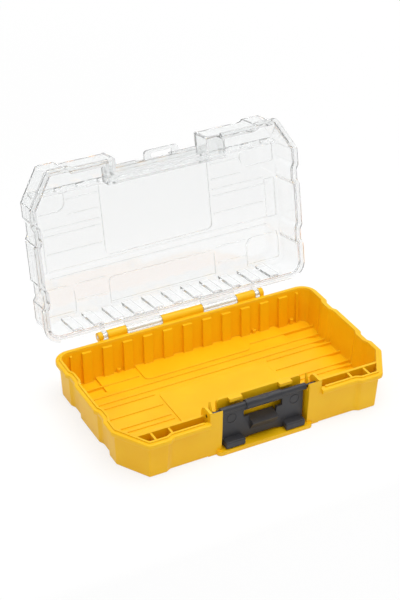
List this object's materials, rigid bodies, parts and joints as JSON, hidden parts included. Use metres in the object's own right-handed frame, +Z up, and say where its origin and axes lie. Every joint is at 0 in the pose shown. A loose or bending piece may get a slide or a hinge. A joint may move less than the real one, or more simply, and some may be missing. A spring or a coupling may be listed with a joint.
{
  "type": "tool organizer case",
  "caption": "Shallow organizer case: an opaque ribbed tray with front pockets, a clear hinged lid with a hang loop and a swinging front latch, on plain pins.",
  "frame": {"origin": "centre of the tray's underside, midway along the case and midway between the rim's front and rear edges", "axes": "+X along the hinge to the right as seen from the latch, +Y from the latch to the hinge, +Z up"},
  "size_m": [0.26, 0.2226, 0.1932],
  "materials": {
    "yellow_plastic": "fine satin",
    "clear_plastic": "clear, polished",
    "dark_plastic": "fine satin",
    "pin_steel": "blackened",
    "pin_plastic": "natural white"
  },
  "bodies": {
    "tray_body": {"tray": "yellow_plastic", "latch_pin": "pin_steel", "hinge_pin_left": "pin_plastic", "hinge_pin_right": "pin_plastic"},
    "lid_body": {"lid": "clear_plastic"},
    "latch_body": {"latch": "dark_plastic"}
  },
  "joints": [
    {"name": "lid_hinge", "type": "hinge", "parent": "tray_body", "child": "lid_body", "pos_m": [0, 0.082, 0.037], "axis": [1, 0, 0], "range_deg": [0, 101.5]},
    {"name": "latch_hinge", "type": "hinge", "parent": "tray_body", "child": "latch_body", "pos_m": [0, -0.0655, 0.039], "axis": [-1, 0, 0], "range_deg": [0, 180]}
  ]
}
